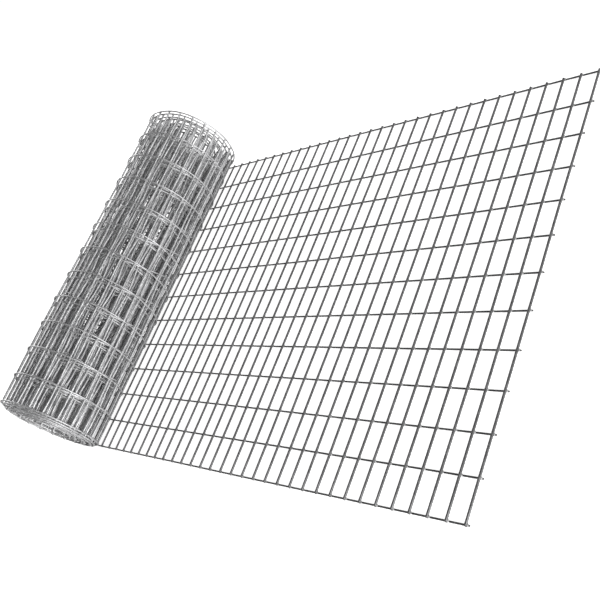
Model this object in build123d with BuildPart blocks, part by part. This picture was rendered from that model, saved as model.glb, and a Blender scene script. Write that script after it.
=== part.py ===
"""Roll of welded wire mesh fencing, lying on the floor with its free end unrolled.

The line wires run along the mesh, and the cross wires run across it, welded on top of them.
X runs from the roll to the free end, Y along the axis of the roll, and Z up. The origin is on the
floor, in the middle of the overall length and width. Units are millimetres.
"""

import os
from math import cos, pi

from build123d import *

# Mesh
line_wire = 2.5  # thickness of the wires that run along the mesh
cross_wire = 3.4  # thickness of the wires that run across the mesh
weld_sink = 0.6  # how far a cross wire is pressed into a line wire at the weld
cell_along = 25.4  # from one cross wire to the next
cell_across = 50.8  # from one line wire to the next
line_wires = 13
wire_sides = 5  # the line wires lie on a flat side, and their ridges meet the cross wires'
line_wire_tail = 4.0  # line wire left past the last cross wire, at the free end
cross_wire_tail = 1.5  # cross wire left past each of the two edge wires

# Roll
roll_radius = 94.0
turns = 11
turn_pitch = 5.5  # from one turn to the next: the thickness of the mesh and a little slack
roll_shift = 4.9  # how far the wound turns have slid along the axis, towards -Y
turn_scatter = 3.9  # how much further, or less far, a single turn has slid
scatter_phase = 2.4  # radians of the scatter's wave from one turn to the next

# Unrolled mesh
first_cross_wire = 31.0  # from the axis of the roll to the nearest flat-lying cross wire
end_under_roll = 12.0  # from the axis of the roll to the line wires' ends beneath its flank
sections = 4
cross_wires_in_section = 8

# Worked out from the values above
line_wire_height = line_wire / 2
cross_wire_height = line_wire - weld_sink + cross_wire / 2
mesh_width = (line_wires - 1) * cell_across + 2 * cross_wire_tail
section_length = cross_wires_in_section * cell_along
axis_to_last_cross_wire = first_cross_wire + sections * section_length - cell_along
overall_length = roll_radius + axis_to_last_cross_wire + line_wire_tail
free_end_x = overall_length / 2
roll_x = roll_radius - overall_length / 2
roll_axis = Axis((roll_x, 0, roll_radius), (0, 1, 0))


def drift(turn):
    """How far a turn has slid towards -Y. Turn 0 is the outermost, in line with the flat mesh."""
    if turn == 0:
        return 0
    return roll_shift + turn_scatter * cos(scatter_phase * turn)


mesh_y = max(drift(turn) for turn in range(turns)) / 2  # middle of the width of the flat mesh


def end_profile(side):
    """One end of the roll, at side -1 or +1, from the bore outwards: one step for each turn."""
    points = []
    for turn in reversed(range(turns)):
        outer = roll_radius - turn * turn_pitch
        end_y = mesh_y - drift(turn) + side * mesh_width / 2
        points.append((outer - turn_pitch, end_y))
        points.append((outer, end_y))
    return points


def make_roll():
    """The wound mesh as one turned body with its bore. Its turns show on both ends."""
    with BuildPart() as roll:
        with BuildSketch(Plane((roll_x, 0, roll_radius))):
            with BuildLine():
                Polyline(*end_profile(-1), *reversed(end_profile(+1)), close=True)
            make_face()
        revolve(axis=roll_axis)
    return roll


def wire_section(thickness, ridge):
    """A five-sided wire of this thickness, for a sketch, with its ridge at 90 or -90 degrees."""
    radius = thickness / (1 + cos(pi / wire_sides))
    ridge_lift = (thickness / 2 - radius) * ridge / 90
    with Locations((0, ridge_lift)):
        RegularPolygon(radius, wire_sides, rotation=ridge)


def make_section(number):
    """A stretch of the flat mesh, its wires fused at each weld. Section 0 is beside the roll."""
    first_wire_x = roll_x + first_cross_wire + number * section_length
    low_x = first_wire_x - cell_along / 2
    high_x = low_x + section_length
    if number == 0:
        low_x = roll_x + end_under_roll
    if number == sections - 1:
        high_x = free_end_x
    cross_wire_places = [
        (first_wire_x + wire * cell_along, cross_wire_height)
        for wire in range(cross_wires_in_section)
    ]

    with BuildPart() as section:
        with BuildSketch(Plane.YZ.offset(low_x)):
            with Locations((mesh_y, line_wire_height)):
                with GridLocations(cell_across, cell_across, line_wires, 1):
                    wire_section(line_wire, ridge=90)
        extrude(amount=high_x - low_x)
        with BuildSketch(Plane.XZ.offset(-mesh_y)):
            with Locations(*cross_wire_places):
                wire_section(cross_wire, ridge=-90)
        extrude(amount=mesh_width / 2, both=True)
        if number == 0:
            with BuildSketch(Plane.XZ.offset(-mesh_y)):
                with Locations((roll_x, roll_radius)):
                    Circle(roll_radius)
            extrude(amount=mesh_width / 2, both=True, mode=Mode.SUBTRACT)
    return section


os.makedirs("parts", exist_ok=True)

roll = make_roll()
roll.part.label = "roll"
export_step(roll.part, "parts/roll.step")

for number in range(sections):
    section = make_section(number)
    section.part.label = f"flat_mesh_{number + 1}"
    export_step(section.part, f"parts/flat_mesh_{number + 1}.step")
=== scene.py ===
"""The looks of a roll of welded wire mesh fencing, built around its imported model.

The mesh is made the way the real one is. It is welded flat, at its full length, and then one
function winds it up, so that line wires, cross wires and welds stay together all the way from the
free end to the middle of the roll. Sizes are in metres.
"""

from math import cos, pi, radians, sin, sqrt

import bmesh
import bpy
from bpy.props import FloatProperty, FloatVectorProperty, IntProperty, PointerProperty
from mathutils import Matrix, Vector, noise


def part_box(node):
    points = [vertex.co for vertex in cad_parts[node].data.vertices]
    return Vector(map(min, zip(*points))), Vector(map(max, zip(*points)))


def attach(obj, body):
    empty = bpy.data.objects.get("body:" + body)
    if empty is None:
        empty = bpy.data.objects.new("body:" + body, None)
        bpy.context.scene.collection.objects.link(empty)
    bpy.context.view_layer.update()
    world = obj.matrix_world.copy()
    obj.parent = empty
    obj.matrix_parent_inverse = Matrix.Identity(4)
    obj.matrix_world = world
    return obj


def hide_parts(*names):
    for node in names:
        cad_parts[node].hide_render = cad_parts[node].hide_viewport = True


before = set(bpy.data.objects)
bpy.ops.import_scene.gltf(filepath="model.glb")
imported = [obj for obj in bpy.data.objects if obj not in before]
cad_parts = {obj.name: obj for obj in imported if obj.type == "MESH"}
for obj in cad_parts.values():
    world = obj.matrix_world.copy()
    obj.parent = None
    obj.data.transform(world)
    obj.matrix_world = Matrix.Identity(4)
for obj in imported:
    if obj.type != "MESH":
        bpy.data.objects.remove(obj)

bl_info = {
    "name": "Welded wire fencing roll",
    "version": (1, 0, 0),
    "blender": (4, 5, 0),
    "location": "View3D > Sidebar > Fencing",
    "description": "Builds a part-unrolled roll of galvanised welded wire mesh",
    "category": "Add Mesh",
}

MM = 0.001
ALL_NODES = ("roll", "flat_mesh_1", "flat_mesh_2", "flat_mesh_3", "flat_mesh_4")

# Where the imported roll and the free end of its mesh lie
roll_low, roll_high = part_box("roll")
free_low, free_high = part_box("flat_mesh_4")
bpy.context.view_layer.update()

ROLL_RADIUS = roll_high.z / 2
ROLL_X = (roll_low.x + roll_high.x) / 2
FREE_END_X = free_high.x
MESH_Y = (free_low.y + free_high.y) / 2
MESH_WIDTH = free_high.y - free_low.y

# How the turns follow one another
STEP_SHARE = 0.3  # share of a turn, at its end, in which it steps inwards to the next one
SLIDE_SHARE = 0.6  # share of a turn, at its end, in which it slides along to the next one's place
SCATTER_PHASE = 2.4  # radians of the scatter's wave from one turn to the next
BOW_PHASE = 2.5  # radians of the bow's wave from one turn to the next
FADE = 100 * MM  # stretch beside the roll in which the mesh on the floor lifts less and less

# How finely the wires are made
WIRE_SIDES = 8
PIECES_IN_CELL = 3  # of a line wire, from one cross wire to the next
PIECES_IN_BAY = 2  # of a cross wire, from one line wire to the next
RIM = 0.12  # width of the rim of a sheared end, in thicknesses of the wire
NUGGET = (0.95, 0.7, 0.42)  # half sizes of a weld along, across and up, in cross wires' thicknesses
CREASE = radians(50)  # edges that turn more than this stay crisp


def linear(hex_colour):
    """An sRGB colour such as "#8a8f92" as the linear red, green and blue that shaders take."""
    channels = []
    for start in (1, 3, 5):
        value = int(hex_colour[start:start + 2], 16) / 255
        channels.append(value / 12.92 if value <= 0.04045 else ((value + 0.055) / 1.055) ** 2.4)
    return tuple(channels)


class MeshSizes(bpy.types.PropertyGroup):
    line_wire: FloatProperty(
        name="Line wire", description="Thickness of the wires that run along the mesh",
        default=2.5 * MM, unit="LENGTH")
    cross_wire: FloatProperty(
        name="Cross wire", description="Thickness of the wires that run across the mesh",
        default=3.4 * MM, unit="LENGTH")
    weld_sink: FloatProperty(
        name="Weld sink", description="How far a cross wire is pressed into a line wire",
        default=0.6 * MM, unit="LENGTH")
    cell_along: FloatProperty(
        name="Cell along", description="From one cross wire to the next",
        default=25.4 * MM, unit="LENGTH")
    cell_across: FloatProperty(
        name="Cell across", description="From one line wire to the next",
        default=50.8 * MM, unit="LENGTH")
    line_wires: IntProperty(
        name="Line wires", description="How many wires run along the mesh", default=13, min=3)
    line_wire_tail: FloatProperty(
        name="Line wire tail", description="Line wire left past the last cross wire",
        default=4.0 * MM, unit="LENGTH")
    uneven: FloatProperty(
        name="Unevenness", description="How far a wire may be welded out of its place",
        default=0.5 * MM, unit="LENGTH")
    slack: FloatProperty(
        name="Slack", description="How high the stretch on the floor may lift",
        default=1.6 * MM, unit="LENGTH")


class RollSizes(bpy.types.PropertyGroup):
    turn_pitch: FloatProperty(
        name="Turn pitch", description="From one turn of the roll to the next",
        default=5.5 * MM, unit="LENGTH")
    turns: IntProperty(
        name="Turns", description="How many turns of mesh are wound up", default=11, min=1)
    shift: FloatProperty(
        name="Shift", description="How far the wound turns have slid along the axis",
        default=4.9 * MM, unit="LENGTH")
    scatter: FloatProperty(
        name="Scatter", description="How much further, or less far, a single turn has slid",
        default=3.9 * MM, unit="LENGTH")
    bow: FloatProperty(
        name="Bow",
        description="How much further, or less far, a turn's middle has slid than its ends",
        default=17.0 * MM, unit="LENGTH")
    out_of_round: FloatProperty(
        name="Out of round", description="How much the roll's outline wavers",
        default=1.2 * MM, unit="LENGTH")
    crooked: FloatProperty(
        name="Crookedness", description="How far a wire wavers from its line round the roll",
        default=6.5 * MM, unit="LENGTH")


class ZincLook(bpy.types.PropertyGroup):
    light: FloatVectorProperty(
        name="Light zinc", description="The paler crystals of the zinc coating",
        subtype="COLOR", size=3, default=linear("#cfcfd0"))
    dark: FloatVectorProperty(
        name="Dark zinc", description="The duller crystals of the zinc coating",
        subtype="COLOR", size=3, default=linear("#a2a2a3"))
    crystal: FloatProperty(
        name="Crystal size", description="Width of one crystal of the coating",
        default=2.5 * MM, unit="LENGTH")
    # Painted shade: how much darker the zinc is painted on the stretch that lies flat
    painted_floor_shade: FloatProperty(
        name="Painted shade on the floor", description="How light the zinc is on the stretch that lies flat",
        default=0.23, min=0, max=1, subtype="FACTOR")
    # Painted highlight: the welds on the stretch that lies flat are painted lighter than its wires
    painted_weld_highlight: FloatProperty(
        name="Painted highlight on the welds", description="How light the zinc is on that stretch's welds",
        default=0.75, min=0, max=1, subtype="FACTOR")
    # Painted shade: the floor's painted shade holds below this height and fades out up to the next
    # one
    painted_shade_below: FloatProperty(
        name="Painted shade below", description="Height under which the zinc has the tone on the floor",
        default=6.0 * MM, unit="LENGTH")
    no_painted_shade_above: FloatProperty(
        name="No painted shade above", description="Height over which the zinc has its full tone",
        default=50.0 * MM, unit="LENGTH")
    sheared: FloatVectorProperty(
        name="Sheared steel", description="The bare steel where the wires were cut",
        subtype="COLOR", size=3, default=linear("#55534f"))
    torn: FloatVectorProperty(
        name="Torn steel", description="The fine dark tears in the sheared ends",
        subtype="COLOR", size=3, default=linear("#3d3b39"))


class StudioLook(bpy.types.PropertyGroup):
    key_power: FloatProperty(
        name="Key light", description="Power of the soft light that faces the roll's flank",
        default=94.0, unit="POWER")
    side_power: FloatProperty(
        name="Side light", description="Power of the soft light behind the unrolled stretch",
        default=18.0, unit="POWER")
    back_power: FloatProperty(
        name="Back light", description="Power of the soft light behind the roll",
        default=30.0, unit="POWER")
    lamp_width: FloatProperty(
        name="Lamp width", description="Width of each soft light", default=1.0, unit="LENGTH")
    sky: FloatProperty(
        name="Sky", description="Strength of the plain light from all round", default=0.2)
    paper: FloatVectorProperty(
        name="Floor", description="Colour of the matt floor",
        subtype="COLOR", size=3, default=linear("#e7e7e7"))
    glow: FloatProperty(
        name="Floor glow", description="Strength of a glow that only the camera and metal see",
        default=0.85)
    lens: FloatProperty(
        name="Lens", description="Focal length for a 36 mm wide film", default=48.4, unit="CAMERA")


def sizes():
    return bpy.context.scene.fencing_mesh


def wound():
    return bpy.context.scene.fencing_roll


def half_width():
    """From the middle of the mesh to the line wires at its edges."""
    return (sizes().line_wires - 1) * sizes().cell_across / 2


def flat_length():
    """From the last cross wire at the free end to the line where the roll touches the floor."""
    return FREE_END_X - sizes().line_wire_tail - ROLL_X


def wound_length():
    """The length of the turns, whose middles lie half a pitch inside their outsides."""
    inner = ROLL_RADIUS - wound().turns * wound().turn_pitch
    return pi * (ROLL_RADIUS ** 2 - inner ** 2) / wound().turn_pitch


def cells():
    """How many cells long the whole mesh is, which is one fewer than it has cross wires."""
    return int((flat_length() + wound_length()) / sizes().cell_along)


def ease(value):
    """0 below 0 and 1 above 1, with a smooth ramp between."""
    value = min(max(value, 0), 1)
    return value * value * (3 - 2 * value)


def at_end(gone, share):
    """A ramp from 0 to 1 over this last share of a turn, of which so much is gone."""
    return ease((gone - (1 - share)) / share)


def chance(*place):
    """A smooth wave from -1 to 1, the same each run, with about one bump for each unit of place.

    Where a last number stands by itself, it tells one wave from another.
    """
    return noise.noise(Vector(place))


def slid(turn, across):
    """How far a turn has slid towards -Y. The outermost, turn 0, is in line with the flat mesh."""
    turn = min(turn, wound().turns - 1)
    if turn == 0:
        return 0
    inside_edges = 1 - (across / half_width()) ** 2
    at_edges = wound().shift + wound().scatter * cos(SCATTER_PHASE * turn)
    return at_edges + wound().bow * sin(BOW_PHASE * turn) * inside_edges


def out_of_place(along, across):
    """Where a wire was welded instead of its even place, the same for all that touches it.

    Line wires stray further than cross wires.
    """
    column = round(along / sizes().cell_along)
    row = round((across + half_width()) / sizes().cell_across)
    along += sizes().uneven * chance(column * 7.3, across * 2.5, 1.5)
    across += 1.6 * sizes().uneven * chance(row * 5.7, along * 1.5, 8.5)
    return along, across


def lay_flat(along, across, height):
    """Takes a point of the mesh to its place on the floor, from which slack mesh lifts a little."""
    to_roll = flat_length() - along
    lift = sizes().slack * max(0, chance(along * 6, across * 5, 3.1)) * ease(to_roll / FADE)
    return Vector((ROLL_X + to_roll, MESH_Y + across, height + lift))


def bulge(angle, across):
    """How far the roll stands out from its round shape, which it keeps where it lies on the floor."""
    waver = chance(2.2 * cos(angle), 2.2 * sin(angle), across * 4)
    waver += 0.3 * chance(angle, across * 9, 5.5)
    off_floor = 1 - ease((cos(angle) - 0.6) / 0.4)
    return wound().out_of_round * waver * ease(angle) * off_floor


def roll_up(past, across, height):
    """Takes a point this far past the line where the roll touches the floor to its turn."""
    pitch = wound().turn_pitch
    inner = sqrt(ROLL_RADIUS ** 2 - pitch * min(past, wound_length()) / pi)
    angle = (ROLL_RADIUS - inner) * 2 * pi / pitch
    turn = int(angle / (2 * pi))
    gone = angle / (2 * pi) - turn
    step = min(turn + at_end(gone, STEP_SHARE), wound().turns - 1)
    radius = ROLL_RADIUS - pitch * step + bulge(angle, across) - height

    # The wires grow crooked, a little on the way up the roll's back and fully in the second turn
    crooked = wound().crooked * (0.3 * ease(angle / 2) + 0.7 * ease((angle - 4) / 4))
    angle += crooked * chance(angle * 0.7, across * 15, 12.5) / ROLL_RADIUS
    inside_edges = 1 - (across / half_width()) ** 4
    slide = at_end(gone, SLIDE_SHARE)
    drift = slid(turn, across) * (1 - slide) + slid(turn + 1, across) * slide
    drift += 1.8 * crooked * inside_edges * chance(angle * 0.6, across * 5, 21.5)
    return Vector((
        ROLL_X - radius * sin(angle),
        MESH_Y + across - drift,
        ROLL_RADIUS - radius * cos(angle),
    ))


def wind(point):
    """Takes a point of the flat, full-length mesh to where the rolled mesh has it.

    Its x is the distance from the last cross wire, its y the distance from the middle of the width
    and its z the height above the underside, which is the outer side of every turn.
    """
    along, across = out_of_place(point.x, point.y)
    past = along - flat_length()
    if past <= 0:
        return lay_flat(along, across, point.z)
    return roll_up(past, across, point.z)


def repeat(mesh, offsets):
    """Copies all that is in the mesh by each of these offsets."""
    geometry = mesh.verts[:] + mesh.edges[:] + mesh.faces[:]
    for offset in offsets:
        copied = bmesh.ops.duplicate(mesh, geom=geometry)["geom"]
        verts = [part for part in copied if isinstance(part, bmesh.types.BMVert)]
        bmesh.ops.translate(mesh, verts=verts, vec=offset)


def repeat_across(mesh):
    """Copies what is at the first line wire to all the others."""
    repeat(mesh, [(0, row * sizes().cell_across, 0) for row in range(1, sizes().line_wires)])


def repeat_along(mesh):
    """Copies what is at the last cross wire to all the others."""
    repeat(mesh, [(column * sizes().cell_along, 0, 0) for column in range(1, cells() + 1)])


def straight_wire(mesh, thickness, length, pieces):
    """A round wire from the origin along +X, its ends sheared, cut across to let it bend."""
    bmesh.ops.create_circle(
        mesh, cap_ends=True, segments=WIRE_SIDES, radius=thickness / 2,
        matrix=Matrix.Rotation(pi / 2, 4, "Y"))
    end = bmesh.ops.extrude_face_region(mesh, geom=mesh.faces[:])["geom"]
    end_verts = [part for part in end if isinstance(part, bmesh.types.BMVert)]
    bmesh.ops.translate(mesh, verts=end_verts, vec=(length, 0, 0))
    long_edges = [edge for edge in mesh.edges if edge.calc_length() > length / 2]
    bmesh.ops.subdivide_edges(mesh, edges=long_edges, cuts=pieces - 1)

    # Cuts made one after another creep a little, so each goes back to its even place
    piece = length / pieces
    for vert in mesh.verts:
        vert.co.x = round(vert.co.x / piece) * piece

    caps = [face for face in mesh.faces if len(face.verts) == WIRE_SIDES]
    for cap in caps:
        cap.material_index = 1
    rims = [edge for cap in caps for edge in cap.edges]
    bmesh.ops.bevel(
        mesh, geom=rims, affect="EDGES", offset=thickness * RIM, segments=1, profile=0.5,
        material=-1, clamp_overlap=True)
    bmesh.ops.recalc_face_normals(mesh, faces=mesh.faces[:])


def finish_piece(name, mesh, *materials):
    """Winds the flat piece up and makes it an object of these materials that rides on the frame."""
    for vert in mesh.verts:
        vert.co = wind(vert.co)
    data = bpy.data.meshes.new(name)
    mesh.to_mesh(data)
    mesh.free()
    for material in materials:
        data.materials.append(material)
    data.shade_smooth()
    data.set_sharp_from_angle(angle=CREASE)
    piece = bpy.data.objects.new(name, data)
    bpy.context.collection.objects.link(piece)
    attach(piece, "root")
    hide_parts(*ALL_NODES)


def add_node(tree, kind, links=(), **settings):
    """Adds a shader node, sets its attributes or input values, and links its inputs."""
    node = tree.nodes.new(kind)
    for name, value in settings.items():
        if hasattr(node, name):
            setattr(node, name, value)
        else:
            node.inputs[name.replace("_", " ")].default_value = value
    for name, source in dict(links).items():
        tree.links.new(source, node.inputs[name])
    return node


def new_material(name):
    """An empty material of this name, and its node tree."""
    made = bpy.data.materials.new(name)
    made.use_nodes = True
    made.node_tree.nodes.clear()
    return made, made.node_tree


def galvanised(name, painted_floor_shade):
    """Hot-dip galvanised steel: grey zinc crystals on a finely lumpy skin, with painted shade that
    makes it darker low down on the floor.
    """
    if name in bpy.data.materials:
        return bpy.data.materials[name]
    look = bpy.context.scene.fencing_zinc
    made, tree = new_material(name)
    place = add_node(tree, "ShaderNodeTexCoord").outputs["Object"]

    # Zinc freezes in crystals of a few millimetres, each with its own grey
    crystals = add_node(
        tree, "ShaderNodeTexVoronoi", {"Vector": place}, Scale=1 / look.crystal, Randomness=1.0)
    crystal_grey = add_node(
        tree, "ShaderNodeRGBToBW", {"Color": crystals.outputs["Color"]}).outputs[0]

    # The coating is patchy every few centimetres, from how the molten zinc ran off
    blotches = add_node(
        tree, "ShaderNodeTexNoise", {"Vector": place}, Scale=1 / (30 * MM), Detail=3.0)
    mixed = add_node(
        tree, "ShaderNodeMath", {0: crystal_grey, 1: blotches.outputs["Fac"]},
        operation="MULTIPLY")
    colour = add_node(tree, "ShaderNodeValToRGB", {"Fac": mixed.outputs[0]})
    dark_end, light_end = colour.color_ramp.elements
    dark_end.position = 0.08
    dark_end.color = (*look.dark, 1)
    light_end.position = 0.5
    light_end.color = (*look.light, 1)

    # Painted shade: the zinc is painted darker on the stretch that lies on the floor and reaches its
    # full tone higher up the roll
    height = add_node(tree, "ShaderNodeSeparateXYZ", {"Vector": place})
    painted_shade_ramp = add_node(
        tree, "ShaderNodeMapRange", {"Value": height.outputs["Z"]}, From_Min=look.painted_shade_below,
        From_Max=look.no_painted_shade_above, To_Min=painted_floor_shade, To_Max=1.0)
    colour_with_painted_shade = add_node(
        tree, "ShaderNodeVectorMath", {0: colour.outputs["Color"], 1: painted_shade_ramp.outputs["Result"]},
        operation="MULTIPLY")

    # The paler a crystal, the duller its shine
    roughness = add_node(
        tree, "ShaderNodeMapRange", {"Value": crystal_grey}, To_Min=0.45, To_Max=0.65)

    # The dipped skin is finely lumpy, drawn at just under a millimetre so that it shows
    lumps = add_node(
        tree, "ShaderNodeTexNoise", {"Vector": place}, Scale=1 / (0.9 * MM), Detail=2.0)
    skin = add_node(
        tree, "ShaderNodeBump", {"Height": lumps.outputs["Fac"]}, Strength=0.35,
        Distance=0.15 * MM)

    # Weathered zinc is part oxide, which isn't a metal
    shader = add_node(
        tree, "ShaderNodeBsdfPrincipled",
        {"Base Color": colour_with_painted_shade.outputs[0], "Roughness": roughness.outputs["Result"],
         "Normal": skin.outputs["Normal"]},
        Metallic=0.8)
    add_node(tree, "ShaderNodeOutputMaterial", {"Surface": shader.outputs["BSDF"]})
    return made


# The wires' zinc, with painted shade on the stretch on the floor
def wire_zinc_with_painted_shade():
    return galvanised("Dull hot-dip galvanised steel", bpy.context.scene.fencing_zinc.painted_floor_shade)


# The welds' zinc, with a painted highlight on the stretch on the floor
def weld_zinc_with_painted_highlight():
    return galvanised(
        "Hot-dip galvanised steel, pressed bright at a weld",
        bpy.context.scene.fencing_zinc.painted_weld_highlight)


def sheared_steel():
    """Bare steel where the shears cut the wires: darker, and torn into fine lines."""
    name = "Sheared steel wire end"
    if name in bpy.data.materials:
        return bpy.data.materials[name]
    look = bpy.context.scene.fencing_zinc
    made, tree = new_material(name)
    place = add_node(tree, "ShaderNodeTexCoord").outputs["Object"]

    # The tears are about a third of a millimetre from one another
    tears = add_node(
        tree, "ShaderNodeTexNoise", {"Vector": place}, Scale=1 / (0.3 * MM), Detail=2.0)
    colour = add_node(tree, "ShaderNodeValToRGB", {"Fac": tears.outputs["Fac"]})
    dark_end, light_end = colour.color_ramp.elements
    dark_end.color = (*look.torn, 1)
    light_end.color = (*look.sheared, 1)
    rough = add_node(
        tree, "ShaderNodeBump", {"Height": tears.outputs["Fac"]}, Strength=0.5,
        Distance=0.1 * MM)
    shader = add_node(
        tree, "ShaderNodeBsdfPrincipled",
        {"Base Color": colour.outputs["Color"], "Normal": rough.outputs["Normal"]},
        Metallic=1.0, Roughness=0.5)
    add_node(tree, "ShaderNodeOutputMaterial", {"Surface": shader.outputs["BSDF"]})
    return made


class LineWires(bpy.types.Operator):
    """Make the wires that run along the mesh"""
    bl_idname = "fencing.line_wires"
    bl_label = "Line Wires"

    def execute(self, context):
        mesh = bmesh.new()
        tail = sizes().line_wire_tail
        length = tail + cells() * sizes().cell_along + tail
        pieces = int(PIECES_IN_CELL * length / sizes().cell_along)
        straight_wire(mesh, sizes().line_wire, length, pieces)
        start = (-tail, -half_width(), sizes().line_wire / 2)
        bmesh.ops.translate(mesh, verts=mesh.verts[:], vec=start)
        repeat_across(mesh)
        finish_piece("line_wires", mesh, wire_zinc_with_painted_shade(), sheared_steel())
        return {"FINISHED"}


class CrossWires(bpy.types.Operator):
    """Make the wires that run across the mesh"""
    bl_idname = "fencing.cross_wires"
    bl_label = "Cross Wires"

    def execute(self, context):
        mesh = bmesh.new()
        pieces = PIECES_IN_BAY * (sizes().line_wires - 1)
        straight_wire(mesh, sizes().cross_wire, MESH_WIDTH, pieces)
        bmesh.ops.rotate(
            mesh, verts=mesh.verts[:], cent=(0, 0, 0), matrix=Matrix.Rotation(pi / 2, 3, "Z"))
        height = sizes().line_wire - sizes().weld_sink + sizes().cross_wire / 2
        bmesh.ops.translate(mesh, verts=mesh.verts[:], vec=(0, -MESH_WIDTH / 2, height))
        repeat_along(mesh)
        finish_piece("cross_wires", mesh, wire_zinc_with_painted_shade(), sheared_steel())
        return {"FINISHED"}


class Welds(bpy.types.Operator):
    """Make the welds where the wires cross"""
    bl_idname = "fencing.welds"
    bl_label = "Welds"

    def execute(self, context):
        mesh = bmesh.new()
        bmesh.ops.create_uvsphere(mesh, u_segments=8, v_segments=4, radius=sizes().cross_wire)
        bmesh.ops.scale(mesh, verts=mesh.verts[:], vec=NUGGET)
        height = sizes().line_wire - sizes().weld_sink / 2
        bmesh.ops.translate(mesh, verts=mesh.verts[:], vec=(0, -half_width(), height))
        repeat_across(mesh)
        repeat_along(mesh)
        finish_piece("welds", mesh, weld_zinc_with_painted_highlight())
        return {"FINISHED"}


def area_light(name, place, power):
    """A large soft lamp at a place, facing the middle of the roll."""
    lamp = bpy.data.lights.new(name, "AREA")
    lamp.size = bpy.context.scene.fencing_studio.lamp_width
    lamp.energy = power
    holder = bpy.data.objects.new(name, lamp)
    holder.location = place
    to_roll = Vector((ROLL_X, 0, ROLL_RADIUS)) - holder.location
    holder.rotation_euler = to_roll.to_track_quat("-Z", "Y").to_euler()
    bpy.context.collection.objects.link(holder)


def seen_rays(tree):
    """1 for what the camera sees, straight or mirrored in metal, and 0 for soft bounced light."""
    path = add_node(tree, "ShaderNodeLightPath")
    mirrored = add_node(
        tree, "ShaderNodeMath",
        {0: path.outputs["Is Glossy Ray"], 1: path.outputs["Is Transmission Ray"]},
        operation="MAXIMUM")
    seen = add_node(
        tree, "ShaderNodeMath", {0: path.outputs["Is Camera Ray"], 1: mirrored.outputs[0]},
        operation="MAXIMUM")
    return seen.outputs[0]


class Stage(bpy.types.Operator):
    """Set up the floor, the lights, the white surroundings and the camera"""
    bl_idname = "fencing.stage"
    bl_label = "Stage"

    def execute(self, context):
        look = context.scene.fencing_studio
        self.floor(look)
        self.surroundings(look)
        area_light("key", (2.3, -1.0, 0.55), look.key_power)
        area_light("side", (1.5, 1.6, 0.7), look.side_power)
        area_light("back", (-2.2, 0.9, 0.7), look.back_power)
        self.camera(look)
        context.scene.view_settings.view_transform = "Standard"
        return {"FINISHED"}

    def floor(self, look):
        reach = 12
        mesh = bmesh.new()
        bmesh.ops.create_grid(mesh, x_segments=1, y_segments=1, size=reach)
        data = bpy.data.meshes.new("floor")
        mesh.to_mesh(data)
        mesh.free()
        ground = bpy.data.objects.new("floor", data)
        bpy.context.collection.objects.link(ground)

        # Matt paper, whose glow makes it white to the camera and in metal and adds no soft light
        made, tree = new_material("White studio floor")
        matt = add_node(tree, "ShaderNodeBsdfDiffuse", Color=(*look.paper, 1)).outputs[0]
        glow = add_node(tree, "ShaderNodeEmission", Strength=look.glow).outputs[0]
        lit = add_node(tree, "ShaderNodeAddShader", {0: matt, 1: glow}).outputs[0]
        surface = add_node(tree, "ShaderNodeMixShader", {0: seen_rays(tree), 1: matt, 2: lit})
        add_node(tree, "ShaderNodeOutputMaterial", {"Surface": surface.outputs[0]})
        data.materials.append(made)

    def surroundings(self, look):
        world = bpy.data.worlds.new("White studio")
        bpy.context.scene.world = world
        world.use_nodes = True
        world.node_tree.nodes.clear()
        sky = add_node(
            world.node_tree, "ShaderNodeBackground", Color=(*linear("#ffffff"), 1),
            Strength=look.sky)
        add_node(world.node_tree, "ShaderNodeOutputWorld", {"Surface": sky.outputs[0]})

    def camera(self, look):
        place = Vector((0.9717, -0.4509, 0.6956))
        target = Vector((0.0392, -0.0161, 0.0))
        tilt = radians(53.1)
        film = bpy.data.cameras.new("camera")
        film.sensor_width = 36
        film.lens = look.lens
        holder = bpy.data.objects.new("camera", film)
        holder.location = place
        level = (target - place).to_track_quat("-Z", "Y").to_matrix()
        holder.rotation_euler = (level @ Matrix.Rotation(-tilt, 3, "Z")).to_euler()
        bpy.context.collection.objects.link(holder)
        bpy.context.scene.camera = holder


class FencingPanel(bpy.types.Panel):
    """Lists the steps that build the roll of fencing"""
    bl_label = "Fencing Roll"
    bl_idname = "VIEW3D_PT_fencing_roll"
    bl_space_type = "VIEW_3D"
    bl_region_type = "UI"
    bl_category = "Fencing"

    def draw(self, context):
        for group in GROUPS:
            box = self.layout.box()
            values = getattr(context.scene, group)
            for name in values.bl_rna.properties.keys():
                if name not in ("name", "rna_type"):
                    box.prop(values, name)
        for step in STEPS:
            self.layout.operator(step.bl_idname)


GROUPS = {
    "fencing_mesh": MeshSizes,
    "fencing_roll": RollSizes,
    "fencing_zinc": ZincLook,
    "fencing_studio": StudioLook,
}
STEPS = (LineWires, CrossWires, Welds, Stage)


def register():
    for made_class in (*GROUPS.values(), *STEPS, FencingPanel):
        bpy.utils.register_class(made_class)
    for name, group in GROUPS.items():
        setattr(bpy.types.Scene, name, PointerProperty(type=group))


def unregister():
    for name in GROUPS:
        delattr(bpy.types.Scene, name)
    for made_class in (FencingPanel, *STEPS, *GROUPS.values()):
        bpy.utils.unregister_class(made_class)


def main():
    register()
    bpy.ops.fencing.line_wires()
    bpy.ops.fencing.cross_wires()
    bpy.ops.fencing.welds()
    bpy.ops.fencing.stage()


if __name__ == "__main__":
    main()
